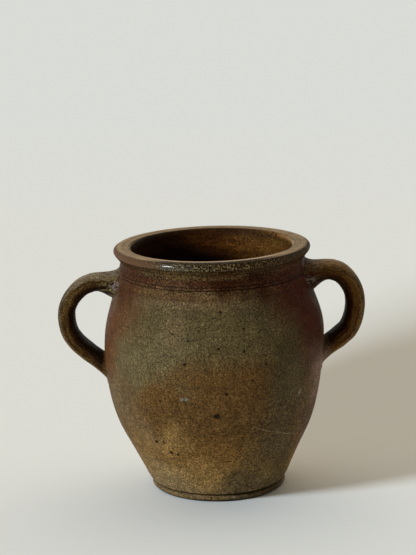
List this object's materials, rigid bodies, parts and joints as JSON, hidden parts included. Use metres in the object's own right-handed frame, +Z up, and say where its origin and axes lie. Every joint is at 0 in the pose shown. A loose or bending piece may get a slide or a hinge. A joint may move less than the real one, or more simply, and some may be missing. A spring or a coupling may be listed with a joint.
{
  "type": "two-handled pot",
  "caption": "Small stoneware jar with a thrown round body, a rolled open rim and pulled strap handles luted on at the neck and belly.",
  "frame": {"origin": "middle of the flat foot, on the surface that the pot stands on", "axes": "+Z up along the axis of the thrown body, handles along -X and +X, -Y is the front"},
  "size_m": [0.2119, 0.1522, 0.17],
  "materials": {
    "fired_clay": "satin salt-fired stoneware, brown to olive",
    "fired_handle": "satin salt-fired stoneware, olive brown",
    "luting_slip": "fired slip, dull"
  },
  "bodies": {
    "root": {"body": "fired_clay", "left_handle": "fired_handle", "right_handle": "fired_handle", "left_upper_luting": "luting_slip", "left_lower_luting": "luting_slip", "right_upper_luting": "luting_slip", "right_lower_luting": "luting_slip"}
  },
  "joints": []
}
